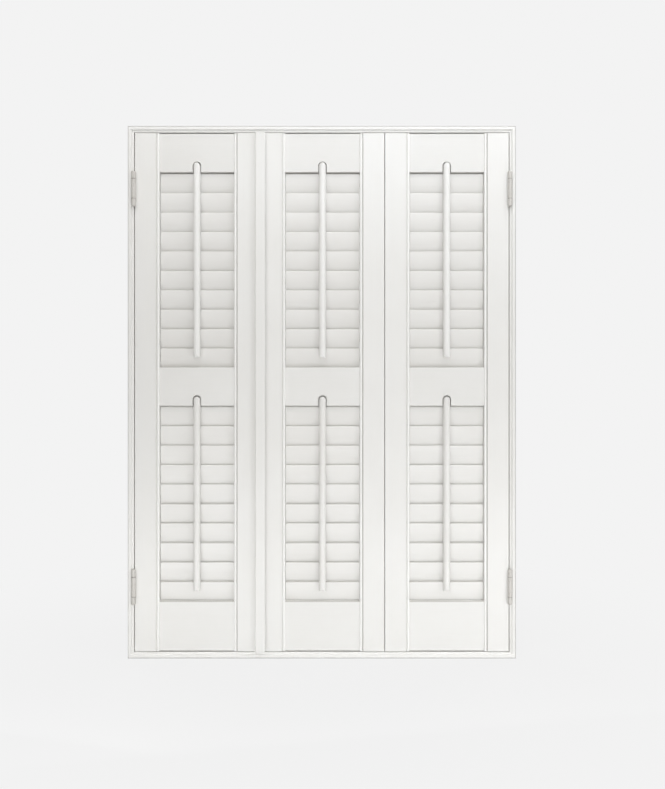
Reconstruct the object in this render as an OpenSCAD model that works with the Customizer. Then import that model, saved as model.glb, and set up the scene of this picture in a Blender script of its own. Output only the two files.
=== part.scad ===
// Three-panel louvred shutters in their frame: one panel hinged on the left,
// a folding pair hinged on the right. Each panel has two banks of louvres,
// and each bank has a tilt rod stapled to the front edges of its louvres.
// X runs across the window, the room side faces -Y, Z is up.
// The origin is under the middle of the sill, at the frame's window side.

/* [Panels] */
// Width of each upright stile
stile_w = 50.5; // [46:0.5:60]
// Thickness of the stiles
panel_t = 28; // [27:0.5:30]
// Width of the opening between the two stiles of a panel
bank_w = 153; // [120:1:220]
// Height of the top rail
top_rail_h = 78.8; // [60:1:110]
// Height of the middle rail
mid_rail_h = 78.8; // [60:1:110]
// Height of the bottom rail
bottom_rail_h = 102; // [60:1:130]
// How far each face of a rail lies behind the face of the stiles
rail_recess = 2.5; // [1:0.1:3]
// How far the stiles run past the top and bottom rails
stile_horn = 0.6; // [0.5:0.1:3]

/* [Stile bead] */
// Width of the round bead along the inner edge of a stile
bead_w = 5.5; // [4:0.1:7]
// Width of the groove beside the bead
quirk_w = 1.8; // [1:0.1:2.5]
// Chamfer on the long edges of the woodwork
edge_ease = 0.8; // [0.3:0.1:1.2]
// How far the leading edge of the middle panel slants back from rear to front
lead_bevel = 2; // [1.6:0.1:3]

/* [Joinery] */
// Length of the tenons on the rails
tenon_l = 30; // [15:1:38]
// Thickness of the tenons
tenon_t = 9; // [7:0.5:11]
// Shoulder above and below a tenon
tenon_shoulder = 12; // [8:0.5:20]
// Room for glue at the bottom of a mortise
mortise_room = 2; // [1:0.5:4]

/* [Louvres] */
// Louvres in each bank
louvre_n = 10; // [8:1:10]
// Distance from one louvre pivot to the next
pitch = 40; // [39:0.5:42]
// Width of a louvre across its blade
louvre_w = 47; // [45:0.5:48]
// Thickness of a louvre at its middle
louvre_t = 8; // [6.5:0.1:8.5]
// Radius of the rounded edges of a louvre
tip_r = 1.6; // [1:0.1:2]
// Lean of the closed louvres from upright, top edge to the room
lean = 10; // [9:0.5:12]
// Height of the lowest pivot of a bank above its rail
first_pivot = 16; // [15:0.5:18]
// Extra room between the top louvre of a bank and the rail above it
bank_room = 1.2; // [0:0.1:3]
// Gap between the end of a louvre and the stile
louvre_side_gap = 0.7; // [0.5:0.1:2]
// Radius of the pivot pins
pin_r = 3; // [2:0.1:3.5]
// How far a pin sits in its stile
pin_seat = 9; // [5:0.5:15]
// Running clearance round a pin
pin_fit = 0.05; // [0.02:0.01:0.1]
// Depth of a pin hole past the end of its pin
pin_room = 1; // [0.5:0.1:3]
// Depth of the step in a rail beyond the reach of the lowest louvre
rabbet_room = 1.8; // [1:0.1:4]
// Width of the step in front of the pivots
rabbet_front = 1.5; // [1:0.1:3]
// How far the light stop under a rail hangs down behind the top louvre
stop_drop = 4; // [2:0.5:5]
// Gap between the closed top louvre and that stop
stop_clear = 1.6; // [1:0.1:2.5]

/* [Tilt rods] */
// Width of a tilt rod
rod_w = 13.5; // [9:0.5:16]
// Depth of a tilt rod
rod_d = 10; // [7:0.5:11]
// Chamfer on the lower end of a rod
rod_chamfer = 3; // [1:0.5:5]
// How far a rod runs past its top staple
rod_top = 16; // [12:0.5:20]
// How far a rod runs past its lowest staple
rod_foot = 23; // [12:0.5:24]
// Distance from the back of a rod to the eyes of its staples
rod_gap = 2.8; // [2.6:0.1:4]
// Distance from the edge of a louvre to the eye of its staple
staple_out = 4.5; // [4:0.1:5.5]
// Width of the staple wire
wire = 1; // [0.8:0.1:1.2]
// Half the distance between the legs of a staple
staple_half = 1.7; // [1.6:0.1:1.9]
// How deep the staple legs are driven in
staple_seat = 3; // [2:0.5:5]
// Gap between a rod and the sides of its notch
notch_side_gap = 2; // [1:0.1:4]
// Gap above the round top of a rod in its notch
notch_top_gap = 3.2; // [1:0.1:5]
// Depth of the notch from the face of the rail
notch_d = 14; // [12:0.5:18]

/* [Frame] */
// Thickness of the frame's leg round the panels
leg_t = 12.5; // [10:0.5:18]
// How far the front of the frame stands out from the panels
frame_proud = 2.5; // [2:0.1:4]
// Width of the raised strip along the frame's outer edge
strip_w = 7.8; // [6:0.1:8]
// Chamfer on the raised strip
strip_ease = 1.2; // [0.5:0.1:2]
// How far the inner step of the frame lies behind the panels' face
step_back = 1; // [0.5:0.1:3]
// How far the stop lip reaches inward behind the panels
lip_w = 14; // [8:0.5:20]
// Thickness of the stop lip
lip_d = 20; // [15:0.5:25]
// Gap between the closed panels and the stop lip
stop_gap = 1.5; // [0.5:0.1:3]
// Gap above and below the panels
end_gap = 1.5; // [1.5:0.1:4]
// Gap between the left jamb and its panel
left_gap = 1.6; // [1.5:0.1:2.4]
// Gap between the right jamb and its panel
right_gap = 1.6; // [1.5:0.1:2.4]
// Gap where the left panel and the folding pair meet
meet_gap = 4; // [3.8:0.1:5]
// Gap between the two panels that fold
fold_gap = 1.2; // [1:0.1:2.4]
// Fixing holes in each jamb
fixing_n = 4; // [2:2:4]
// Distance from one fixing hole to the next
fixing_pitch = 200; // [120:5:220]
// Radius of the fixing holes
fixing_r = 2.25; // [1.5:0.05:3]
// Depth of the countersink at a fixing hole
sink_d = 2.5; // [1.5:0.1:4]

/* [Meeting strip] */
// Width of the strip that covers the meeting gap
cover_w = 21; // [18:0.5:26]
// Thickness of that strip
cover_t = 9; // [8:0.1:11]
// How much of its width is fixed to the left panel
cover_seat = 7; // [6:0.5:10]
// Relief behind the strip, where the folding pair slides out
cover_relief = 4.8; // [4.6:0.1:5.5]
// Radius of the rounded front edges of that strip
cover_round = 3; // [1:0.1:3.5]
// How far the strip runs past each end of its panel
cover_over = 0.2; // [0:0.1:3.5]

/* [Hinges] */
// Height of a hinge
hinge_h = 73; // [60:1:90]
// Radius of a hinge barrel
barrel_r = 4.5; // [4.2:0.1:4.8]
// Height of the upper and the lower knuckle
knuckle_h = 16; // [12:0.5:22]
// Gap between knuckles
knuckle_gap = 0.5; // [0.2:0.05:0.6]
// Radius of a hinge pin
hinge_pin_r = 2; // [1.5:0.1:2.2]
// Running clearance round a hinge pin
hinge_fit = 0.05; // [0.02:0.01:0.1]
// Gap between a barrel and the face of a panel
barrel_gap = 0.4; // [0.35:0.05:0.6]
// Height of the rounded end of a barrel
barrel_crown = 2.4; // [1:0.1:3]
// How far the barrel has narrowed half way up its rounded end
crown_step = 0.6; // [0.3:0.1:1]
// Thickness of a hinge leaf
leaf_t = 1; // [0.8:0.05:1]
// Depth of a hinge leaf
leaf_d = 20; // [12:0.5:24]
// Gap between the two leaves of a closed hinge
leaf_gap = 0.4; // [0.3:0.05:0.6]
// Room round a leaf in the pocket cut for it
pocket_room = 0.2; // [0:0.1:0.5]
// From the top of a panel to the middle of its upper hinges
hinge_drop = 115; // [80:0.5:160]
// From the bottom of a panel to the middle of its lower hinges
hinge_rise = 133; // [80:0.5:160]

/* [Hidden] */
$fn = 96;
// Facet count of the wide louvre arcs
arc_fn = 256;
// Overrun of a cut past a face
over = 1;

// Panel sizes and heights
bank_h = louvre_n * pitch + bank_room;
panel_w = bank_w + 2 * stile_w;
panel_h = bottom_rail_h + mid_rail_h + top_rail_h + 2 * bank_h + 2 * stile_horn;
rail_t = panel_t - 2 * rail_recess;
panel_z = leg_t + end_gap;
bottom_rail_z = panel_z + stile_horn;
lower_bank_z = bottom_rail_z + bottom_rail_h;
mid_rail_z = lower_bank_z + bank_h;
upper_bank_z = mid_rail_z + mid_rail_h;
top_rail_z = upper_bank_z + bank_h;
panel_top = panel_z + panel_h;

// Depths, from the window side of the frame towards the room
panel_back_y = -lip_d - stop_gap;
panel_face_y = panel_back_y - panel_t;
rail_face_y = panel_face_y + rail_recess;
frame_face_y = panel_face_y - frame_proud;
frame_step_y = panel_face_y + step_back;
pivot_y = panel_face_y + panel_t / 2;

// Frame sizes and the left edge of each panel
inner_w = 3 * panel_w + left_gap + meet_gap + fold_gap + right_gap;
frame_w = inner_w + 2 * leg_t;
frame_h = panel_h + 2 * end_gap + 2 * leg_t;
jamb_x = inner_w / 2;
left_x = left_gap - jamb_x;
middle_x = left_x + panel_w + meet_gap;
right_x = middle_x + panel_w + fold_gap;
PANELS = ["left", "middle", "right"];
panel_x = [left_x, middle_x, right_x];

// Louvre blade: two wide arcs meet the rounded edges in a tangent
half_w = louvre_w / 2;
half_t = louvre_t / 2;
tip_u = half_w - tip_r;
blade_r = (tip_u * tip_u + half_t * half_t - tip_r * tip_r) / (2 * (half_t - tip_r));
blade_end = blade_r * tip_u / (blade_r - tip_r);
pin_out = pin_seat + louvre_side_gap;
rabbet_d = half_w * cos(lean) - first_pivot + rabbet_room;
stop_y = pivot_y - tip_u * sin(lean) + tip_r + stop_clear;

// Staple eyes, where rod and louvre hang together
eye_r = half_w + staple_out;
eye_y = pivot_y - eye_r * sin(lean);
eye_rise = eye_r * cos(lean);
rod_l = (louvre_n - 1) * pitch + rod_top + rod_foot;
notch_w = rod_w + 2 * notch_side_gap;
notch_h = first_pivot - pitch - bank_room + eye_rise + rod_top + notch_top_gap;

// Hinge axes: in front at the jambs, behind where the pair folds
axis_off = barrel_r + barrel_gap;
jamb_axis_y = panel_face_y - axis_off;
fold_axis_y = panel_back_y + axis_off;
fold_axis_x = right_x - fold_gap / 2;
tab_start = hinge_pin_r + hinge_fit + leaf_gap;
closed_t = 2 * leaf_t + leaf_gap;
centre_knuckle_h = hinge_h - 2 * knuckle_h - 2 * knuckle_gap;
hinge_z = [panel_z + hinge_rise, panel_top - hinge_drop];

// Paint and metal
paint = [0.89, 0.88, 0.85];
louvre_paint = [0.87, 0.86, 0.83];
hinge_metal = [0.80, 0.79, 0.76];

PANEL_PIECES = ["stile_left", "stile_right", "rail_top", "rail_middle", "rail_bottom", "lower_louvres",
    "hinge_leaves"];

// Extrudes a (y, z) section along X
module along_x(l) {
    rotate([90, 0, 90])
        linear_extrude(l)
            children();
}

// Extrudes an (x, z) outline towards the room
module towards_room(l) {
    rotate([90, 0, 0])
        linear_extrude(l)
            children();
}

// Upright outline with a round top, standing on the origin
module round_top(w, h) {
    translate([-w / 2, 0])
        square([w, h - w / 2]);
    translate([0, h - w / 2])
        intersection() {
            circle(d = w);
            translate([-w / 2, 0])
                square([w, w / 2]);
        }
}

// Frame section for the left jamb: u inward from the outer face, y as in the part
module frame_section() {
    polygon([
        [0, 0],
        [leg_t + lip_w, 0],
        [leg_t + lip_w, -lip_d + edge_ease],
        [leg_t + lip_w - edge_ease, -lip_d],
        [leg_t, -lip_d],
        [leg_t, frame_step_y + edge_ease],
        [leg_t - edge_ease, frame_step_y],
        [strip_w, frame_step_y],
        [strip_w, frame_face_y + strip_ease],
        [strip_w - strip_ease, frame_face_y],
        [strip_ease, frame_face_y],
        [0, frame_face_y + strip_ease]
    ]);
}

// One mitred length of frame, upright, its outer face at x = 0
module mitred(l) {
    reach = leg_t + lip_w + over;
    intersection() {
        linear_extrude(l)
            frame_section();
        translate([0, over, 0])
            towards_room(over - frame_face_y + over)
                polygon([[0, 0], [reach, reach], [reach, l - reach], [0, l]]);
    }
}

module fixing_holes() {
    for (i = [0:fixing_n - 1])
        translate([0, pivot_y, frame_h / 2 + (i - (fixing_n - 1) / 2) * fixing_pitch])
            rotate([0, 90, 0]) {
                translate([0, 0, -over])
                    cylinder(r = fixing_r, h = leg_t + 2 * over);
                translate([0, 0, leg_t - sink_d])
                    cylinder(r1 = fixing_r, r2 = fixing_r + sink_d, h = sink_d);
            }
}

module jamb_left() {
    translate([-frame_w / 2, 0, 0])
        difference() {
            mitred(frame_h);
            fixing_holes();
        }
}

module frame_jamb_left() {
    color(paint)
        jamb_left();
}

module frame_jamb_right() {
    color(paint)
        mirror([1, 0, 0])
            jamb_left();
}

module frame_sill() {
    color(paint)
        translate([frame_w / 2, 0, 0])
            rotate([0, -90, 0])
                mitred(frame_w);
}

module frame_head() {
    color(paint)
        translate([-frame_w / 2, 0, frame_h])
            rotate([0, 90, 0])
                mitred(frame_w);
}

// Stile section: u from the outer edge to the beaded inner edge, v from the face to the back
module stile_section(lead) {
    bead_r = bead_w / 2;
    quirk_u = stile_w - bead_w - quirk_w;
    polygon([
        [lead + edge_ease, 0],
        [quirk_u, 0],
        [quirk_u, bead_r],
        [stile_w, bead_r],
        [stile_w, panel_t - edge_ease],
        [stile_w - edge_ease, panel_t],
        [edge_ease, panel_t],
        [0, panel_t - edge_ease],
        [lead, edge_ease]
    ]);
    translate([stile_w - bead_r, bead_r])
        intersection() {
            circle(r = bead_r);
            translate([-bead_r, -bead_r])
                square([bead_w, bead_r]);
        }
}

// Tenon of a rail, or its mortise with room at the end
module tenon(l, rail_z, rail_h) {
    translate([stile_w - l, panel_t / 2 - tenon_t / 2, rail_z + tenon_shoulder])
        cube([l, tenon_t, rail_h - 2 * tenon_shoulder]);
}

// Pockets in the outer edge of a stile for the leaves of its two hinges, open at the front
module leaf_pockets(depth) {
    for (z = hinge_z)
        translate([-over, -over, z - hinge_h / 2 - pocket_room])
            cube([depth + over, leaf_d + pocket_room + over, hinge_h + 2 * pocket_room]);
}

// A stile with its outer edge at x = 0, drilled for the pins and mortised for the rails.
// Leaf pockets are cut from the front, or from the back of a stile at the fold
module stile(lead, front_pocket, back_pocket) {
    difference() {
        translate([0, 0, panel_z])
            linear_extrude(panel_h)
                stile_section(lead);
        tenon(tenon_l + mortise_room, bottom_rail_z, bottom_rail_h);
        tenon(tenon_l + mortise_room, mid_rail_z, mid_rail_h);
        tenon(tenon_l + mortise_room, top_rail_z, top_rail_h);
        for (bank_z = [lower_bank_z, upper_bank_z])
            for (i = [0:louvre_n - 1])
                translate([stile_w - pin_seat - pin_room, panel_t / 2, bank_z + first_pivot + i * pitch])
                    rotate([0, 90, 0])
                        cylinder(r = pin_r + pin_fit, h = pin_seat + pin_room + over);
        if (front_pocket > 0)
            leaf_pockets(front_pocket);
        if (back_pocket > 0)
            translate([0, panel_t, 0])
                mirror([0, 1, 0])
                    leaf_pockets(back_pocket);
    }
}

module stile_left(p) {
    color(paint)
        translate([panel_x[p], panel_face_y, 0])
            stile(p == 1 ? lead_bevel : 0, p == 0 ? closed_t - left_gap : 0,
                p == 2 ? (closed_t - fold_gap) / 2 : 0);
}

module stile_right(p) {
    color(paint)
        translate([panel_x[p] + panel_w, panel_face_y, 0])
            mirror([1, 0, 0])
                stile(0, p == 2 ? closed_t - right_gap : 0,
                    p == 1 ? (closed_t - fold_gap) / 2 : 0);
}

// Rail section from z = 0 up, with a step at the back of its top edge for the lowest louvre,
// and a light stop under it behind the top louvre of the bank below
module rail_section(h, stepped, over_bank) {
    back_y = rail_face_y + rail_t;
    step_y = pivot_y - rabbet_front;
    top_back = stepped
        ? [[step_y - edge_ease, h], [step_y, h - edge_ease], [step_y, h - rabbet_d], [back_y, h - rabbet_d]]
        : [[back_y - edge_ease, h], [back_y, h - edge_ease]];
    underside = over_bank
        ? [[back_y, edge_ease - stop_drop], [back_y - edge_ease, -stop_drop], [stop_y, -stop_drop], [stop_y, 0]]
        : [[back_y, edge_ease], [back_y - edge_ease, 0]];
    polygon(concat(
        underside,
        [
            [rail_face_y + edge_ease, 0],
            [rail_face_y, edge_ease],
            [rail_face_y, h - edge_ease],
            [rail_face_y + edge_ease, h]
        ],
        top_back
    ));
}

// A rail between the stiles of panel p, tenoned into both. One over a bank is notched for its rod
module rail(p, z, h, stepped, over_bank) {
    color(paint)
        translate([panel_x[p], 0, 0])
            difference() {
                union() {
                    translate([stile_w, 0, z])
                        along_x(bank_w)
                            rail_section(h, stepped, over_bank);
                    translate([0, panel_face_y, 0])
                        tenon(tenon_l, z, h);
                    translate([panel_w, panel_face_y, 0])
                        mirror([1, 0, 0])
                            tenon(tenon_l, z, h);
                }
                if (over_bank)
                    translate([panel_w / 2, rail_face_y + notch_d, z - stop_drop - over])
                        towards_room(notch_d + over)
                            round_top(notch_w, notch_h + stop_drop + over);
            }
}

// Blade section: chord upright, two arcs and two rounded edges
module blade_section() {
    intersection() {
        translate([half_t - blade_r, 0])
            circle(r = blade_r, $fn = arc_fn);
        translate([blade_r - half_t, 0])
            circle(r = blade_r, $fn = arc_fn);
        square([louvre_t, 2 * blade_end], center = true);
    }
    for (side = [-1, 1])
        translate([0, side * tip_u])
            circle(r = tip_r);
}

// Staple leg or eye: a short run of square wire between two points of the same axis
module wire_run(at, size) {
    translate(at)
        cube([size[0] + wire, size[1] + wire, size[2] + wire], center = true);
}

// Louvre with its pins and its staple, about its pivot axis
module louvre_about_pivot() {
    rotate([lean, 0, 0]) {
        translate([louvre_side_gap, 0, 0])
            along_x(bank_w - 2 * louvre_side_gap)
                blade_section();
        for (x = [-pin_seat, bank_w - louvre_side_gap - over])
            translate([x, 0, 0])
                rotate([0, 90, 0])
                    cylinder(r = pin_r, h = pin_out + over);
        for (side = [-1, 1])
            wire_run([bank_w / 2 + side * staple_half, 0, eye_r - (staple_out + staple_seat) / 2],
                [0, 0, staple_out + staple_seat]);
        wire_run([bank_w / 2, 0, eye_r], [2 * staple_half, 0, 0]);
    }
}

function pivot_z(bank_z, i) = bank_z + first_pivot + (louvre_n - i) * pitch;

// Louvre i of a bank, counted from the top
module louvre(p, bank_z, i) {
    color(louvre_paint)
        translate([panel_x[p] + stile_w, pivot_y, pivot_z(bank_z, i)])
            louvre_about_pivot();
}

// Rod with a half-round front and a round top; its back is at y = 0
module rod_bar() {
    intersection() {
        linear_extrude(rod_l)
            mirror([0, 1, 0])
                round_top(rod_w, rod_d);
        towards_room(rod_d)
            round_top(rod_w, rod_l);
        translate([-rod_w / 2, 0, 0])
            along_x(rod_w)
                polygon([
                    [0, 0],
                    [rod_chamfer - rod_d, 0],
                    [-rod_d, rod_chamfer],
                    [-rod_d, rod_l],
                    [0, rod_l]
                ]);
    }
}

// Tilt rod of a bank with its staples, whose eyes hold the louvres' eyes
module tilt_rod(p, bank_z) {
    color(paint)
        translate([panel_x[p] + panel_w / 2, eye_y, pivot_z(bank_z, louvre_n) + eye_rise]) {
            translate([0, -rod_gap, -rod_foot])
                rod_bar();
            for (i = [0:louvre_n - 1])
                translate([0, 0, i * pitch]) {
                    for (side = [-1, 1])
                        wire_run([0, (staple_half - rod_gap - staple_seat) / 2, side * staple_half],
                            [0, staple_half + rod_gap + staple_seat, 0]);
                    wire_run([0, staple_half, 0], [0, 0, 2 * staple_half]);
                }
        }
}

// Lower bank of a panel: its louvres and rod are one closed group
module lower_louvres(p) {
    for (i = [1:louvre_n])
        louvre(p, lower_bank_z, i);
    tilt_rod(p, lower_bank_z);
}

// Meeting strip section before its relief: u from its left edge, back at y = 0
module strip_section() {
    translate([0, cover_round - cover_t])
        square([cover_w, cover_t - cover_round]);
    translate([cover_round, -cover_t])
        square([cover_w - 2 * cover_round, cover_round]);
    for (u = [cover_round, cover_w - cover_round])
        translate([u, cover_round - cover_t])
            intersection() {
                circle(r = cover_round);
                translate([-cover_round, -cover_round])
                    square([2 * cover_round, cover_round]);
            }
}

module meeting_strip() {
    l = panel_h + 2 * cover_over;
    color(paint)
        translate([middle_x - meet_gap - cover_seat, panel_face_y, panel_z - cover_over])
            difference() {
                linear_extrude(l)
                    strip_section();
                translate([cover_seat, -cover_relief, -over])
                    cube([cover_w - cover_seat + over, cover_relief + over, l + 2 * over]);
            }
}

// Barrel end: a knuckle with a rounded crown, standing on the origin
module crowned_knuckle() {
    rotate_extrude()
        polygon([
            [0, 0],
            [barrel_r, 0],
            [barrel_r, knuckle_h - barrel_crown],
            [barrel_r - crown_step, knuckle_h - barrel_crown / 2],
            [barrel_r / 2, knuckle_h],
            [0, knuckle_h]
        ]);
}

// Leaf of a hinge: a plate behind the axis and a tab to each of its knuckles.
// u is the plate's place beside the axis, bands are the heights of the knuckles
module hinge_leaf(u, bands) {
    translate([u, axis_off, -hinge_h / 2])
        cube([leaf_t, leaf_d, hinge_h]);
    for (b = bands)
        translate([u, tab_start, b[0]])
            cube([leaf_t, axis_off - tab_start + over, b[1] - b[0]]);
}

// Half hinge with the two end knuckles and the pin pressed into them
module pinned_half(u) {
    end_z = hinge_h / 2 - knuckle_h;
    for (side = [-1, 1])
        translate([0, 0, side * end_z])
            mirror([0, 0, side < 0 ? 1 : 0])
                crowned_knuckle();
    translate([0, 0, -end_z - over])
        cylinder(r = hinge_pin_r, h = 2 * end_z + 2 * over);
    hinge_leaf(u, [[-hinge_h / 2 + barrel_crown, -end_z], [end_z, hinge_h / 2 - barrel_crown]]);
}

// Half hinge with the middle knuckle, bored for the pin
module bored_half(u) {
    half = centre_knuckle_h / 2;
    difference() {
        translate([0, 0, -half])
            cylinder(r = barrel_r, h = centre_knuckle_h);
        translate([0, 0, -half - over])
            cylinder(r = hinge_pin_r + hinge_fit, h = centre_knuckle_h + 2 * over);
    }
    hinge_leaf(u, [[-half, half]]);
}

// Places a half hinge at both hinge heights
module at_hinges(x, y) {
    for (z = hinge_z)
        translate([x, y, z])
            children();
}

module frame_hinge_leaves() {
    color(hinge_metal) {
        at_hinges(-jamb_x, jamb_axis_y)
            pinned_half(0);
        at_hinges(jamb_x, jamb_axis_y)
            pinned_half(-leaf_t);
    }
}

module hinge_leaves(p) {
    color(hinge_metal) {
        if (p == 0)
            at_hinges(-jamb_x, jamb_axis_y)
                bored_half(closed_t - leaf_t);
        if (p == 1)
            at_hinges(fold_axis_x, fold_axis_y)
                mirror([0, 1, 0])
                    bored_half(-closed_t / 2);
        if (p == 2) {
            at_hinges(jamb_x, jamb_axis_y)
                bored_half(-closed_t);
            at_hinges(fold_axis_x, fold_axis_y)
                mirror([0, 1, 0])
                    pinned_half(closed_t / 2 - leaf_t);
        }
    }
}

frame_head();
frame_sill();
frame_jamb_left();
frame_jamb_right();
frame_hinge_leaves();
meeting_strip();  // left_meeting_strip
for (p = [0:2]) {
    stile_left(p);
    stile_right(p);
    rail(p, top_rail_z, top_rail_h, false, true);
    rail(p, mid_rail_z, mid_rail_h, true, true);
    rail(p, bottom_rail_z, bottom_rail_h, true, false);
    lower_louvres(p);
    hinge_leaves(p);
    tilt_rod(p, upper_bank_z);
    for (i = [1:louvre_n])
        louvre(p, upper_bank_z, i);
}
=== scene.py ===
"""Looks of the three-panel louvred shutters: paint, hinge steel, screws, studio and camera."""

import math

import bmesh
import bpy
from mathutils import Matrix, Vector


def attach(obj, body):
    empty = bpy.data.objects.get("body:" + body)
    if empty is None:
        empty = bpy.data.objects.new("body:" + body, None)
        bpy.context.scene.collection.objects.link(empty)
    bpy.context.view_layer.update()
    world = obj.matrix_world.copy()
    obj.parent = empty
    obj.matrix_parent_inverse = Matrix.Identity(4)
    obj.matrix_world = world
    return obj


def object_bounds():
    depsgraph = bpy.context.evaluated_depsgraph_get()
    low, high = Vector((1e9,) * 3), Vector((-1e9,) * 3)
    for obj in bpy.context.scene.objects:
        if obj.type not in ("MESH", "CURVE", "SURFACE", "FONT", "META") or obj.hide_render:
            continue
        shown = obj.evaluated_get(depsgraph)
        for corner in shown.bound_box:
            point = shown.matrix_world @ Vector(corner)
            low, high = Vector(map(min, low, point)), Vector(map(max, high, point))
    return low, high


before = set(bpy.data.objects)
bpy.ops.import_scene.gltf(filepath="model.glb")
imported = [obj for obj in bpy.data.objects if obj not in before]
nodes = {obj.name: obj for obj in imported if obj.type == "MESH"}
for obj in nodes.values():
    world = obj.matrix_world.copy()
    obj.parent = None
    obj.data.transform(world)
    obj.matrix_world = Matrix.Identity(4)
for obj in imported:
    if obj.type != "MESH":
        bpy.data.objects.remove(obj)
cad_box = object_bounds()

# Sizes of the shutters. X runs across them, the room side faces -Y and Z is up.
MM = 0.001

FRAME_FACE_Y = -52.0 * MM
PANEL_FACE_Y = -49.5 * MM
PANEL_BACK_Y = -21.5 * MM

JAMB_X = 385.2 * MM
JAMB_GAP = 1.6 * MM
FOLD_GAP = 1.2 * MM
PANEL_WIDTH = 254.0 * MM
OUTER_PANEL_X = JAMB_X - JAMB_GAP - PANEL_WIDTH / 2
PANEL_MIDDLES = {
    "left": -OUTER_PANEL_X,
    "middle": OUTER_PANEL_X - FOLD_GAP - PANEL_WIDTH,
    "right": OUTER_PANEL_X,
}

TOP_RAIL_UNDERSIDE = 997.8 * MM
BOTTOM_RAIL_TOP = 116.6 * MM
LOWEST_LOUVRE_TOP = 155.7 * MM
LOUVRE_PITCH = 40.0 * MM
LOUVRE_FRONT_EDGE_Y = -36.0 * MM
ROD_BACK_Y = -42.0 * MM

HINGE_HEIGHTS = (147.0 * MM, 962.2 * MM)
JAMB_HINGE_X = 384.0 * MM
FOLD_HINGE_X = OUTER_PANEL_X - PANEL_WIDTH / 2 - FOLD_GAP / 2
KNUCKLE_JOINT = 20.25 * MM


# ---------------------------------------------------------------- shader nodes

def new_group(name, inputs, outputs):
    """An empty shader group with these sockets: {name: (kind, value)} in, {name: kind} out."""
    group = bpy.data.node_groups.new(name, "ShaderNodeTree")
    for label, (kind, value) in inputs.items():
        socket = group.interface.new_socket(label, in_out="INPUT", socket_type="NodeSocket" + kind)
        if value is not None:
            socket.default_value = value
    for label, kind in outputs.items():
        group.interface.new_socket(label, in_out="OUTPUT", socket_type="NodeSocket" + kind)
    return group, group.nodes.new("NodeGroupInput").outputs


def put_out(group, results):
    """Feeds these results to the outputs of a group, which is then finished."""
    out = group.nodes.new("NodeGroupOutput")
    for label, result in results.items():
        group.links.new(result, out.inputs[label])
    return group


def new_material(name):
    """A material without nodes, and its node tree."""
    material = bpy.data.materials.new(name)
    material.use_nodes = True
    material.node_tree.nodes.clear()
    return material, material.node_tree


def add(tree, kind, place, inputs=(), **settings):
    """Adds a node of this kind. An input is a plain value, or the output of another node that feeds it."""
    node = tree.nodes.new("ShaderNode" + kind)
    node.location = place
    for key, value in settings.items():
        setattr(node, key, value)
    for key, value in dict(inputs).items():
        if isinstance(value, bpy.types.NodeSocket):
            tree.links.new(value, node.inputs[key])
        else:
            node.inputs[key].default_value = value
    return node


def work_out(tree, place, operation, *terms, **settings):
    """The result of this operation on one or two terms."""
    inputs = dict(enumerate(terms))
    return add(tree, "Math", place, inputs, operation=operation, **settings).outputs[0]


def rescale(tree, place, value, start, end, low, high, **settings):
    """A value that runs from start to end, carried over to run from low to high and held there."""
    inputs = {"Value": value, "From Min": start, "From Max": end, "To Min": low, "To Max": high}
    return add(tree, "MapRange", place, inputs, **settings).outputs["Result"]


def distance_from(tree, place, along, level):
    """How far a coordinate lies from a level, on either side of it."""
    x, y = place
    shift = work_out(tree, place, "SUBTRACT", along, level)
    return work_out(tree, (x + 150, y), "ABSOLUTE", shift)


def noise(tree, place, where, scale, detail, roughness=0.5, distortion=0.0):
    """Soft noise of this scale."""
    return add(tree, "TexNoise", place, {
        "Vector": where,
        "Scale": scale,
        "Detail": detail,
        "Roughness": roughness,
        "Distortion": distortion,
    }).outputs["Fac"]


def cover(tree, place, share, under, over):
    """A colour with a share of another one over it."""
    inputs = {"Factor": share, "A": under, "B": over}
    return add(tree, "Mix", place, inputs, data_type="RGBA").outputs["Result"]


def shade(tree, inputs):
    """Gives a material its shader, with these inputs."""
    shader = add(tree, "BsdfPrincipled", (400, 0), {"IOR": 1.5, **inputs})
    add(tree, "OutputMaterial", (700, 0), {"Surface": shader.outputs["BSDF"]})


# ---------------------------------------------------------------- paint on wood

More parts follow.
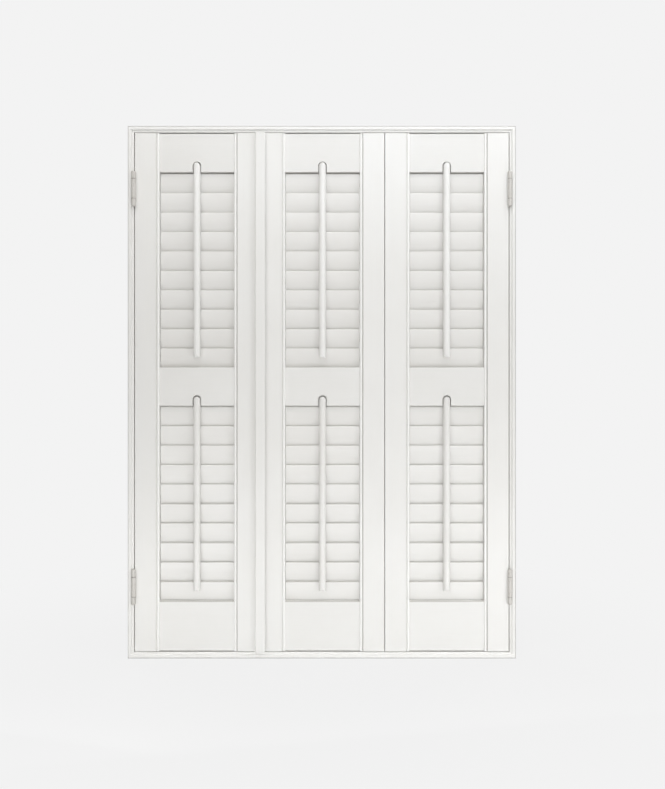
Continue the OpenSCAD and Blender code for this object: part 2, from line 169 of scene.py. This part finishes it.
def grained_paint_group():
    """Satin paint sprayed on wood: a fine orange peel, grain that shows through it, soft shifts of tone."""
    group, given = new_group(
        "satin paint over grain",
        {
            "Along Grain": ("Vector", None),
            "Paint": ("Color", (0.8, 0.8, 0.8, 1)),
            "Thin Paint": ("Color", (0.7, 0.7, 0.7, 1)),
            "Cloudiness": ("Float", 0.5),
            "Grain": ("Float", 0.3),
            "Gloss Break": ("Float", 0.08),
        },
        {"Color": "Color", "Roughness": "Float", "Height": "Float"},
    )
    along = given["Along Grain"]
    stretched = add(group, "Mapping", (-900, 0), {"Vector": along, "Scale": (1, 1, 0.035)})
    grain = noise(group, (-700, 100), stretched.outputs["Vector"], 520, 4, roughness=0.6, distortion=0.4)
    clouds = noise(group, (-700, -150), along, 7, 3, roughness=0.55)
    peel = noise(group, (-700, -400), along, 850, 2)
    specks = add(group, "TexVoronoi", (-700, -650), {"Vector": along, "Scale": 160, "Randomness": 1.0},
                 feature="DISTANCE_TO_EDGE")
    # tone: cloudy shifts and a trace of grain between the full and the thin paint
    cloudy = rescale(group, (-450, -150), clouds, 0.35, 0.7, 0, 1)
    lined = rescale(group, (-450, 100), grain, 0.42, 0.72, 0, 1)
    cloud_part = work_out(group, (-250, -150), "MULTIPLY", cloudy, given["Cloudiness"])
    grain_part = work_out(group, (-250, 100), "MULTIPLY", lined, given["Grain"])
    thinness = work_out(group, (-80, 0), "ADD", cloud_part, grain_part, use_clamp=True)
    tone = cover(group, (120, 100), thinness, given["Paint"], given["Thin Paint"])
    # roughness: satin, duller where the paint is thin
    satin = rescale(group, (120, -300), thinness, 0, 1, 0.34, 0.46)
    dull = work_out(group, (120, -120), "MULTIPLY", peel, given["Gloss Break"])
    roughness = work_out(group, (320, -200), "ADD", satin, dull, use_clamp=True)
    # height: grain lines under an orange peel, with a few nibs
    nibs = rescale(group, (-450, -650), specks.outputs["Distance"], 0, 0.12, 0.15, 0)
    grain_depth = work_out(group, (120, -480), "MULTIPLY", grain, given["Grain"])
    peel_depth = work_out(group, (120, -640), "MULTIPLY", peel, 0.35)
    surface = work_out(group, (320, -520), "ADD", grain_depth, peel_depth)
    height = work_out(group, (500, -560), "ADD", surface, nibs)
    return put_out(group, {"Color": tone, "Roughness": roughness, "Height": height})


def outer_arris_shade_group():
    """Mask of the thin line of painted shade on the outer arris of the frame, with a share of it for each
    side.
    """
    group, given = new_group(
        "painted shade line on the outer arris",
        {
            "Position": ("Vector", None),
            "Half Width": ("Float", 0.4),
            "Height": ("Float", 1.0),
            "Front": ("Float", -0.05),
            "Line": ("Float", 2.0 * MM),
            "Left": ("Float", 0.5),
            "Right": ("Float", 0.85),
            "Head": ("Float", 0.9),
            "Sill": ("Float", 0.85),
        },
        {"Mask": "Float"},
    )
    axes = add(group, "SeparateXYZ", (-900, 0), {0: given["Position"]}).outputs
    # each side: its axis, which way is outwards along it, and how far out the arris lies
    sides = {
        "Left": ("X", -1, given["Half Width"]),
        "Right": ("X", 1, given["Half Width"]),
        "Head": ("Z", 1, given["Height"]),
        "Sill": ("Z", -1, 0),
    }
    shade_line = 0
    for row, (side, (axis, outward, reach)) in enumerate(sides.items()):
        y = 300 - 220 * row
        out_to = work_out(group, (-700, y), "MULTIPLY", axes[axis], outward)
        inset = work_out(group, (-500, y), "SUBTRACT", reach, out_to)
        near = work_out(group, (-300, y), "DIVIDE", inset, given["Line"])
        fade = rescale(group, (-120, y), near, 0.7, 1.2, 1, 0)
        share = work_out(group, (60, y), "MULTIPLY", fade, given[side])
        shade_line = work_out(group, (260, y), "MAXIMUM", shade_line, share)
    # only on the face and just round the corner, not down the outer sides
    behind = work_out(group, (-300, -600), "SUBTRACT", axes["Y"], given["Front"])
    shallow = rescale(group, (-120, -600), behind, 1.0 * MM, 3.0 * MM, 1, 0)
    mask = work_out(group, (460, -300), "MULTIPLY", shade_line, shallow)
    return put_out(group, {"Mask": mask})


def narrow_band_group():
    """Mask of a narrow band, or of the pair of them at one distance from a middle, between two depths."""
    group, given = new_group(
        "narrow band",
        {
            "Along": ("Float", None),
            "Depth": ("Float", None),
            "Middle": ("Float", 0.0),
            "Offset": ("Float", 0.0),
            "Half Width": ("Float", 2.0 * MM),
            "Nearest": ("Float", -1.0),
            "Deepest": ("Float", 0.0),
        },
        {"Mask": "Float"},
    )
    from_middle = distance_from(group, (-900, 0), given["Along"], given["Middle"])
    away = distance_from(group, (-540, 0), from_middle, given["Offset"])
    share = work_out(group, (-180, 0), "DIVIDE", away, given["Half Width"])
    inside = rescale(group, (0, 0), share, 0.8, 1.05, 1, 0)
    before = work_out(group, (0, -250), "LESS_THAN", given["Depth"], given["Deepest"])
    beyond = work_out(group, (0, -430), "GREATER_THAN", given["Depth"], given["Nearest"])
    between = work_out(group, (200, -300), "MULTIPLY", before, beyond)
    mask = work_out(group, (400, -100), "MULTIPLY", inside, between)
    return put_out(group, {"Mask": mask})


PAINT_OVER_GRAIN = grained_paint_group()
OUTER_ARRIS_SHADE = outer_arris_shade_group()
NARROW_BAND = narrow_band_group()

UPRIGHT = (0, 0, 0)
LEVEL = (0, 90, 0)
PAINT_RELIEF = 0.4 * MM
# colour of the thin line of painted shade along the frame's outer arris
ARRIS_SHADE = (0.5, 0.49, 0.47)


def painted_wood(name, paint, thin_paint, turn=UPRIGHT, cloudiness=0.5, grain=0.25, bump=0.25,
                 shaded_arris=False, bands=()):
    """Painted wood with its grain along Z, or turned by so many degrees.

    The frame's outer arris can be darkened by a thin line of painted shade. A band is (axis across it, its
    place, its colour, the share of it); the bands here carry painted shade or painted highlights.
    """
    material, tree = new_material(name)
    where = add(tree, "TexCoord", (-600, 0)).outputs["Object"]
    angles = [math.radians(angle) for angle in turn]
    turned = add(tree, "Mapping", (-400, 0), {"Vector": where, "Rotation": angles})
    finish = add(tree, "Group", (-150, 0), node_tree=PAINT_OVER_GRAIN, inputs={
        "Along Grain": turned.outputs["Vector"],
        "Paint": (*paint, 1),
        "Thin Paint": (*thin_paint, 1),
        "Cloudiness": cloudiness,
        "Grain": grain,
    }).outputs
    tone = finish["Color"]
    # a thin line of painted shade along the outer arris of the frame
    if shaded_arris:
        line = add(tree, "Group", (-150, 300), node_tree=OUTER_ARRIS_SHADE, inputs={
            "Position": where,
            "Half Width": cad_box[1][0],
            "Height": cad_box[1][2],
            "Front": FRAME_FACE_Y,
        })
        tone = cover(tree, (150, 200), line.outputs["Mask"], tone, (*ARRIS_SHADE, 1))
    for row, (axis, place, colour, share) in enumerate(bands):
        y = 600 + 300 * row
        axes = add(tree, "SeparateXYZ", (-400, y), {0: where}).outputs
        measured = {"Along": axes[axis], "Depth": axes["Y"], **place}
        band = add(tree, "Group", (-200, y), measured, node_tree=NARROW_BAND)
        weight = work_out(tree, (0, y), "MULTIPLY", band.outputs["Mask"], share)
        tone = cover(tree, (200, y - 100), weight, tone, (*colour, 1))
    relief = add(tree, "Bump", (150, -250),
                 {"Strength": bump, "Distance": PAINT_RELIEF, "Height": finish["Height"]})
    shade(tree, {"Base Color": tone, "Roughness": finish["Roughness"],
                 "Normal": relief.outputs["Normal"]})
    return material


# ---------------------------------------------------------------- finishes of the woodwork

WHITE = (0.845, 0.838, 0.815)
WHITE_THIN = (0.815, 0.805, 0.775)
# the head and sill in a lighter copy of the white: painted light
LEVEL_LIT_WHITE = (0.875, 0.868, 0.845)
LEVEL_LIT_THIN = (0.845, 0.835, 0.805)
# the top rails in a darker copy of the white: painted shade
TOP_RAIL_SHADED_WHITE = (0.80, 0.792, 0.768)
TOP_RAIL_SHADED_THIN = (0.77, 0.76, 0.732)
# the middle and bottom rails a little darker than the white: painted shade
RAIL_SHADED_WHITE = (0.826, 0.819, 0.796)
RAIL_SHADED_THIN = (0.796, 0.787, 0.757)
# the upper banks of louvres darker than the lower ones: painted shade
UPPER_LOUVRE_SHADED_WHITE = (0.81, 0.80, 0.775)
UPPER_LOUVRE_SHADED_THIN = (0.78, 0.765, 0.735)
LOWER_LOUVRE_WHITE = (0.845, 0.836, 0.812)
LOWER_LOUVRE_THIN = (0.815, 0.803, 0.772)
# the tilt rods whiter than the rest of the paint: a painted highlight
ROD_LIT_WHITE = (0.89, 0.884, 0.865)
ROD_LIT_THIN = (0.86, 0.852, 0.825)

# the round bead of a stile, given a painted highlight, and the groove beside it, given painted shade,
# measured from the middle of the panel
BEAD_HIGHLIGHT = (0.93, 0.925, 0.905)
BEAD_OFFSET = 79.25 * MM
BEAD_HALF = 1.9 * MM
BEAD_HIGHLIGHT_SHARE = 1.0
BEAD_BOTTOM_Y = PANEL_FACE_Y + 3.0 * MM
GROOVE_SHADE = (0.5, 0.48, 0.45)
GROOVE_OFFSET = 82.9 * MM
GROOVE_HALF = 0.9 * MM
GROOVE_SHADE_SHARE = 0.8

# painted shade on the light stop under the top rail, on the ledge of the bottom rail and along the top
# edges of the louvres
STOP_SHADE = (0.42, 0.40, 0.37)
STOP_HALF = 2.0 * MM
STOP_SHADE_SHARE = 0.9
LEDGE_SHADE = (0.5, 0.48, 0.45)
LEDGE_HALF = 1.1 * MM
LEDGE_SHADE_SHARE = 0.9
LOUVRE_EDGE_HALF = 0.9 * MM
LOUVRE_EDGE_DEPTHS = {"Nearest": ROD_BACK_Y, "Deepest": LOUVRE_FRONT_EDGE_Y}
LOUVRE_EDGE_SHADE_SHARES = (0.8, 0.65, 0.65, 0.3, 0.5, 0.15)


def stile_bands(x):
    """Painted highlights on the beads of both stiles of the panel at x, and painted shade in the groove of
    the right stile.
    """
    bead = {"Middle": x, "Offset": BEAD_OFFSET, "Half Width": BEAD_HALF, "Deepest": BEAD_BOTTOM_Y}
    groove = {"Middle": x + GROOVE_OFFSET, "Half Width": GROOVE_HALF, "Deepest": BEAD_BOTTOM_Y}
    return ("X", bead, BEAD_HIGHLIGHT, BEAD_HIGHLIGHT_SHARE), ("X", groove, GROOVE_SHADE, GROOVE_SHADE_SHARE)


def level_band(top, half, colour, share, **depths):
    """A level band that reaches down from this height, at all depths or between two of them."""
    return "Z", {"Middle": top - half, "Half Width": half, **depths}, colour, share


# a band of painted shade on the light stop under the top rail and on the ledge of the bottom rail
top_rail_bands = [level_band(TOP_RAIL_UNDERSIDE, STOP_HALF, STOP_SHADE, STOP_SHADE_SHARE)]
bottom_rail_bands = [level_band(BOTTOM_RAIL_TOP, LEDGE_HALF, LEDGE_SHADE, LEDGE_SHADE_SHARE)]
# painted shade along the top edges of the six lowest louvres, with its share for each from the lowest up
lower_louvre_bands = [
    level_band(LOWEST_LOUVRE_TOP + LOUVRE_PITCH * step, LOUVRE_EDGE_HALF, LEDGE_SHADE, share,
               **LOUVRE_EDGE_DEPTHS)
    for step, share in enumerate(LOUVRE_EDGE_SHADE_SHARES)
]

upright_frame = painted_wood("frame paint, upright", WHITE, WHITE_THIN,
                             grain=0.1, bump=0.12, shaded_arris=True)
level_frame = painted_wood("frame paint, level", LEVEL_LIT_WHITE, LEVEL_LIT_THIN, LEVEL,
                           grain=0.1, bump=0.12, shaded_arris=True)
stile_paint = {
    panel: painted_wood(f"stile paint, {panel} panel", WHITE, WHITE_THIN, bands=stile_bands(x))
    for panel, x in PANEL_MIDDLES.items()
}
rail_paint = {
    "top": painted_wood("rail paint, top", TOP_RAIL_SHADED_WHITE, TOP_RAIL_SHADED_THIN, LEVEL, bands=top_rail_bands),
    "middle": painted_wood("rail paint, middle", RAIL_SHADED_WHITE, RAIL_SHADED_THIN, LEVEL),
    "bottom": painted_wood("rail paint, bottom", RAIL_SHADED_WHITE, RAIL_SHADED_THIN, LEVEL, bands=bottom_rail_bands),
}
upper_louvre_paint = painted_wood("louvre paint, upper banks", UPPER_LOUVRE_SHADED_WHITE, UPPER_LOUVRE_SHADED_THIN,
                                  LEVEL, cloudiness=0.6)
lower_louvre_paint = painted_wood("louvre paint, lower banks", LOWER_LOUVRE_WHITE, LOWER_LOUVRE_THIN,
                                  LEVEL, cloudiness=0.6, bands=lower_louvre_bands)
rod_paint = painted_wood("tilt rod paint", ROD_LIT_WHITE, ROD_LIT_THIN, grain=0.15)
strip_paint = painted_wood("meeting strip paint", WHITE, WHITE_THIN)


# ---------------------------------------------------------------- painted hinge steel

HINGE_COAT = (0.61, 0.59, 0.555)
RUBBED_COAT = (0.47, 0.45, 0.42)
# grime and painted shade in the joints between the knuckles
KNUCKLE_GRIME_AND_SHADE = (0.25, 0.235, 0.21)
KNUCKLE_GRIME_AND_SHADE_SHARE = 0.6
KNUCKLE_DARK_CORE = 0.4 * MM
KNUCKLE_DARK_EDGE = 1.1 * MM
BARREL_CLEAR = 0.2 * MM
STEEL_RELIEF = 0.2 * MM


def knuckle_joint_group():
    """Mask of the grime and painted shade in the joints between the knuckles of the upper and lower hinges.
    """
    group, given = new_group(
        "grime and painted shade in the knuckle joints",
        {"Position": ("Vector", None)},
        {"Mask": "Float"},
    )
    axes = add(group, "SeparateXYZ", (-1100, 0), {0: given["Position"]}).outputs
    # measured from midway between the hinges, then from the middle of a hinge, then from a joint
    low, high = HINGE_HEIGHTS
    away = axes["Z"]
    for step, level in enumerate(((low + high) / 2, (high - low) / 2, KNUCKLE_JOINT)):
        away = distance_from(group, (-900 + 300 * step, 0), away, level)
    joint = rescale(group, (50, 0), away, KNUCKLE_DARK_CORE, KNUCKLE_DARK_EDGE, 1, 0)
    # only on the barrels, which stand out in front of the panels or behind them
    before = work_out(group, (-600, -300), "LESS_THAN", axes["Y"], PANEL_FACE_Y - BARREL_CLEAR)
    beyond = work_out(group, (-600, -480), "GREATER_THAN", axes["Y"], PANEL_BACK_Y + BARREL_CLEAR)
    barrel = work_out(group, (-400, -400), "MAXIMUM", before, beyond)
    mask = work_out(group, (250, -200), "MULTIPLY", joint, barrel)
    return put_out(group, {"Mask": mask})


def painted_hinge_steel():
    """Pressed steel under a thin coat of paint, rubbed a little, with grime and painted shade between the
    knuckles.
    """
    material, tree = new_material("thinly painted hinge steel")
    where = add(tree, "TexCoord", (-900, 0)).outputs["Object"]
    rub = noise(tree, (-650, 150), where, 260, 4, roughness=0.6)
    rubbed = rescale(tree, (-430, 150), rub, 0.52, 0.75, 0, 0.6)
    coat = cover(tree, (0, 200), rubbed, (*HINGE_COAT, 1), (*RUBBED_COAT, 1))
    joint = add(tree, "Group", (0, 450), {"Position": where}, node_tree=knuckle_joint_group())
    grime_and_shade = work_out(tree, (150, 450), "MULTIPLY", joint.outputs["Mask"], KNUCKLE_GRIME_AND_SHADE_SHARE)
    tone = cover(tree, (250, 250), grime_and_shade, coat, (*KNUCKLE_GRIME_AND_SHADE, 1))
    roughness = rescale(tree, (0, -50), rubbed, 0, 1, 0.42, 0.3)
    drawn = add(tree, "Mapping", (-650, -200), {"Vector": where, "Scale": (1, 1, 0.05)})
    lines = noise(tree, (-430, -200), drawn.outputs["Vector"], 1500, 2)
    relief = add(tree, "Bump", (250, -300), {"Strength": 0.2, "Distance": STEEL_RELIEF, "Height": lines})
    shade(tree, {"Base Color": tone, "Metallic": rubbed, "Roughness": roughness,
                 "Normal": relief.outputs["Normal"]})
    return material


hinge_steel = painted_hinge_steel()


def finish_for(name):
    """The finish of the piece of this name."""
    if "hinge" in name:
        return hinge_steel
    if name.startswith("frame_jamb"):
        return upright_frame
    if name.startswith("frame_"):
        return level_frame
    if "rail" in name:
        return rail_paint[name.split("_")[-1]]
    if "tilt_rod" in name:
        return rod_paint
    if "lower_louvres" in name:
        return lower_louvre_paint
    if "louvre" in name:
        return upper_louvre_paint
    if "stile" in name:
        return stile_paint[name.split("_")[0]]
    return strip_paint


for name, piece in nodes.items():
    for slot in piece.material_slots:
        slot.material = finish_for(name)


# ---------------------------------------------------------------- hinge screws

HEAD_R = 3.4 * MM
HEAD_RISE = 0.12 * MM
HEAD_TOP_SHARE = 0.96
HEAD_SIDES = 32
RECESS_FLOOR = 0.02 * MM
RECESS_ARM = 2.0 * MM
RECESS_HALF = 0.5 * MM
RECESS_SHADE = (0.16, 0.15, 0.14)
RECESS_DIRT = (0.072, 0.0675, 0.063)
# a face at this share of a height or reach counts as there
ALMOST = 0.99

SCREW_STEP = 26.0 * MM
SCREW_TURN = 0.7
LEAF_GAP = 0.4 * MM
# how far back the two end screws of a leaf lie, and the screw between them
JAMB_LEAF_Y = (-36.5 * MM, -42.5 * MM)
FOLD_LEAF_Y = (-34.5 * MM, -28.5 * MM)
# the leaves on each body: the plane where the closed leaves meet, the way the leaf faces, its screws
LEAVES = {
    "frame": ((-JAMB_HINGE_X, 1, JAMB_LEAF_Y), (JAMB_HINGE_X, -1, JAMB_LEAF_Y)),
    "left_panel": ((-JAMB_HINGE_X, -1, JAMB_LEAF_Y),),
    "middle_panel": ((FOLD_HINGE_X, 1, FOLD_LEAF_Y),),
    "right_panel": ((JAMB_HINGE_X, 1, JAMB_LEAF_Y), (FOLD_HINGE_X, -1, FOLD_LEAF_Y)),
}


def shaded_dirty_recess():
    """Shadowed bottom of a screw's cross recess, with a little dirt in it."""
    material, tree = new_material("screw recess")
    where = add(tree, "TexCoord", (-500, 0)).outputs["Object"]
    dirt = noise(tree, (-300, 0), where, 900, 3)
    tone = cover(tree, (0, 0), dirt, (*RECESS_SHADE, 1), (*RECESS_DIRT, 1))
    shade(tree, {"Base Color": tone, "Roughness": 0.8})
    return material


def on_top(face):
    """Whether a face lies in the top of a screw head."""
    return face.calc_center_median().z > HEAD_RISE * ALMOST


def new_corners(extruded):
    """The new vertices of a region that has just been extruded."""
    return [part for part in extruded["geom"] if isinstance(part, bmesh.types.BMVert)]


def add_screw_head(shape, place, facing, turn):
    """A countersunk head almost flush with its leaf: a low disc with a cross recess cut in its top."""
    disc = bmesh.new()
    bmesh.ops.create_circle(disc, cap_ends=True, segments=HEAD_SIDES, radius=HEAD_R)
    top = new_corners(bmesh.ops.extrude_face_region(disc, geom=disc.faces[:]))
    bmesh.ops.translate(disc, verts=top, vec=(0, 0, HEAD_RISE))
    bmesh.ops.scale(disc, verts=top, vec=(HEAD_TOP_SHARE, HEAD_TOP_SHARE, 1))
    for axis in (Vector((1, 0, 0)), Vector((0, 1, 0))):
        for cut in (-RECESS_ARM, -RECESS_HALF, RECESS_HALF, RECESS_ARM):
            upper = [face for face in disc.faces if on_top(face)]
            around = dict.fromkeys(part for face in upper for part in (*face.verts, *face.edges))
            bmesh.ops.bisect_plane(disc, geom=[*upper, *around], plane_co=axis * cut, plane_no=axis)
    cross = []
    for face in disc.faces:
        at = face.calc_center_median()
        near, far = sorted((abs(at.x), abs(at.y)))
        if on_top(face) and near < RECESS_HALF and far < RECESS_ARM:
            cross.append(face)
    floor = new_corners(bmesh.ops.extrude_face_region(disc, geom=cross))
    bmesh.ops.delete(disc, geom=cross, context="FACES_ONLY")
    bmesh.ops.translate(disc, verts=floor, vec=(0, 0, RECESS_FLOOR - HEAD_RISE))
    for face in disc.faces:
        at = face.calc_center_median()
        in_reach = max(abs(at.x), abs(at.y)) < RECESS_ARM / ALMOST
        if in_reach and at.z > RECESS_FLOOR / 2 and not on_top(face):
            face.material_index = 1
    bmesh.ops.recalc_face_normals(disc, faces=disc.faces[:])
    spot = Matrix.Translation(place) @ facing.to_track_quat("Z", "Y").to_matrix().to_4x4()
    bmesh.ops.transform(disc, matrix=spot @ Matrix.Rotation(turn, 4, "Z"), verts=disc.verts[:])
    head = bpy.data.meshes.new("screw head")
    disc.to_mesh(head)
    disc.free()
    shape.from_mesh(head)
    bpy.data.meshes.remove(head)


def new_object(name, shape, *materials):
    """Puts a finished bmesh in the scene as an object with these materials."""
    mesh = bpy.data.meshes.new(name)
    shape.to_mesh(mesh)
    shape.free()
    for material in materials:
        mesh.materials.append(material)
    made = bpy.data.objects.new(name, mesh)
    bpy.context.scene.collection.objects.link(made)
    return made


def hinge_screws(body, leaves):
    """The screws in the hinge leaves of one body, three to a leaf in a zigzag."""
    shape = bmesh.new()
    count = 0
    for plane_x, facing, (end_y, between_y) in leaves:
        face_x = plane_x - facing * LEAF_GAP / 2
        for hinge_z in HINGE_HEIGHTS:
            for rise, y in ((-SCREW_STEP, end_y), (0, between_y), (SCREW_STEP, end_y)):
                place = Vector((face_x, y, hinge_z + rise))
                add_screw_head(shape, place, Vector((facing, 0, 0)), SCREW_TURN * count)
                count += 1
    screws = new_object(body + "_hinge_screws", shape, hinge_steel, recess_shadow)
    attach(screws, body)


recess_shadow = shaded_dirty_recess()
for body, leaves in LEAVES.items():
    hinge_screws(body, leaves)


# ---------------------------------------------------------------- studio

BACKDROP = 0.896
WORLD_LIGHT = 0.3
WORLD_TINT = (1.0, 0.995, 0.985)
FLOOR_GREY = 0.8
FLOOR_SIZE = 12
FLOOR_DROP = 0.3 * MM
NEUTRAL = (1, 1, 1)
DAYLIGHT = (0.92, 0.985, 1.08)
WARM = (1.03, 1.0, 0.95)
NO_GRID = 180
WIDE_GRID = 60
NARROW_GRID = 45


def flat_backdrop(level, light):
    """Plain pale surroundings: one tone to the camera and in reflections, and soft light for the rest."""
    world = bpy.data.worlds.new("studio")
    bpy.context.scene.world = world
    world.use_nodes = True
    tree = world.node_tree
    tree.nodes.clear()
    seen = add(tree, "Background", (0, 100), {"Color": (level, level, level, 1), "Strength": 1})
    lighting = add(tree, "Background", (0, -100), {"Color": (*WORLD_TINT, 1), "Strength": light})
    rays = add(tree, "LightPath", (-600, 200)).outputs
    mirrored = work_out(tree, (-300, 200), "MAXIMUM", rays["Is Camera Ray"], rays["Is Glossy Ray"])
    shown = work_out(tree, (-150, 200), "MAXIMUM", mirrored, rays["Is Transmission Ray"])
    pick = add(tree, "MixShader", (300, 0), {"Fac": shown, 1: lighting.outputs[0], 2: seen.outputs[0]})
    add(tree, "OutputWorld", (600, 0), {"Surface": pick.outputs[0]})


def pale_floor(level):
    """A level floor that keeps the shadow near the shutters and fades into the backdrop further out."""
    material, tree = new_material("studio floor")
    lit = add(tree, "BsdfDiffuse", (0, -100), {"Color": (FLOOR_GREY, FLOOR_GREY, FLOOR_GREY, 1)})
    plain = add(tree, "Emission", (0, 100), {"Color": (level, level, level, 1), "Strength": 1})
    rays = add(tree, "LightPath", (-900, 300)).outputs
    where = add(tree, "TexCoord", (-900, -100)).outputs["Object"]
    reach = add(tree, "VectorMath", (-700, -100), {0: where}, operation="LENGTH")
    far = rescale(tree, (-500, -100), reach.outputs["Value"], 0.15, 1.1, 0.9, 1,
                  interpolation_type="SMOOTHSTEP")
    seen = work_out(tree, (-250, 200), "MULTIPLY", rays["Is Camera Ray"], far)
    pick = add(tree, "MixShader", (500, 0), {"Fac": seen, 1: lit.outputs[0], 2: plain.outputs[0]})
    add(tree, "OutputMaterial", (900, 0), {"Surface": pick.outputs[0]})
    shape = bmesh.new()
    bmesh.ops.create_grid(shape, x_segments=1, y_segments=1, size=FLOOR_SIZE)
    floor = new_object("floor", shape, material)
    floor.location = (0, 0, -FLOOR_DROP)


def soft_light(name, place, target, size, power, tint=NEUTRAL, spread=NO_GRID):
    """A rectangular softbox aimed at a target; a smaller spread in degrees stands for a grid on it."""
    lamp = bpy.data.lights.new(name, "AREA")
    lamp.shape = "RECTANGLE"
    lamp.size, lamp.size_y = size
    lamp.energy = power
    lamp.color = tint
    lamp.spread = math.radians(spread)
    holder = bpy.data.objects.new(name, lamp)
    holder.location = place
    holder.rotation_mode = "QUATERNION"
    holder.rotation_quaternion = (Vector(target) - Vector(place)).to_track_quat("-Z", "Y")
    holder.visible_camera = False
    bpy.context.scene.collection.objects.link(holder)


middle = (cad_box[0] + cad_box[1]) / 2

flat_backdrop(BACKDROP, WORLD_LIGHT)
pale_floor(BACKDROP)

soft_light("overhead softbox", (0.3, -0.8, 2.4), middle, (1.6, 0.6), 12.3)
soft_light("fill from the room", (0.2, -2.5, 0.6), middle, (1.6, 1.2), 6.9)
# gridded boxes even out the face of the frame and the top rails
soft_light("gridded box, head", (0.1, -2.0, 1.6), (0.1, -0.05, 1.3), (1.0, 0.5), 0.50,
           DAYLIGHT, NARROW_GRID)
soft_light("gridded box, head right", (0.7, -2.0, 1.5), (0.45, -0.05, 1.25), (0.6, 0.6), 0.17,
           DAYLIGHT, NARROW_GRID)
soft_light("gridded box, head left", (-1.0, -1.4, 1.9), (-0.25, -0.05, 1.0), (0.8, 0.5), 0.82,
           WARM, WIDE_GRID)
soft_light("gridded box, sill", (0.2, -2.0, 0.5), (0.15, -0.05, -0.15), (1.0, 0.3), 0.31,
           DAYLIGHT, NARROW_GRID)
soft_light("gridded box, sill left", (-0.5, -2.0, 0.5), (-0.35, -0.05, -0.15), (0.6, 0.3), 0.10,
           NEUTRAL, NARROW_GRID)
# near boxes lift the right of the head and the bottom rails
soft_light("near box, head right", (0.75, -0.5, 1.4), (0.35, -0.05, 0.9), (0.5, 0.2), 1.28)
soft_light("low strip in front of the sill", (0.2, -0.5, 0.08), (0.1, -0.05, 0.25), (1.4, 0.12), 0.68)
soft_light("low box on the right", (0.95, -0.9, 0.15), (0.3, -0.05, 0.25), (0.6, 0.2), 2.0)
soft_light("low box on the left", (-0.5, -0.5, 0.08), (-0.35, -0.05, 0.2), (0.5, 0.12), 0.37)
# the back has two large boxes of its own
soft_light("window side, left", (-1.5, 1.8, 1.4), middle, (1.4, 1.4), 20)
soft_light("window side, right", (1.5, 1.8, 1.0), middle, (1.4, 1.4), 20)


# ---------------------------------------------------------------- camera

CAMERA_DISTANCE = 1.9
SENSOR_MM = 36
PHOTO_HEIGHT_PX = 789
MM_PER_PX = 2.0486
AIM_RIGHT_PX = 10.7
AIM_BELOW_PX = 2.3


def photo_camera():
    """Square on to the shutters; the photograph's centre lies a little right of and below theirs."""
    pixel = MM_PER_PX * MM
    data = bpy.data.cameras.new("camera")
    data.sensor_width = SENSOR_MM
    data.lens = SENSOR_MM * CAMERA_DISTANCE / (PHOTO_HEIGHT_PX * pixel)
    camera = bpy.data.objects.new("camera", data)
    camera.location = (
        AIM_RIGHT_PX * pixel,
        FRAME_FACE_Y - CAMERA_DISTANCE,
        middle.z - AIM_BELOW_PX * pixel,
    )
    camera.rotation_euler = (math.radians(90), 0, 0)
    bpy.context.scene.collection.objects.link(camera)
    bpy.context.scene.camera = camera


photo_camera()
bpy.context.scene.view_settings.view_transform = "Standard"
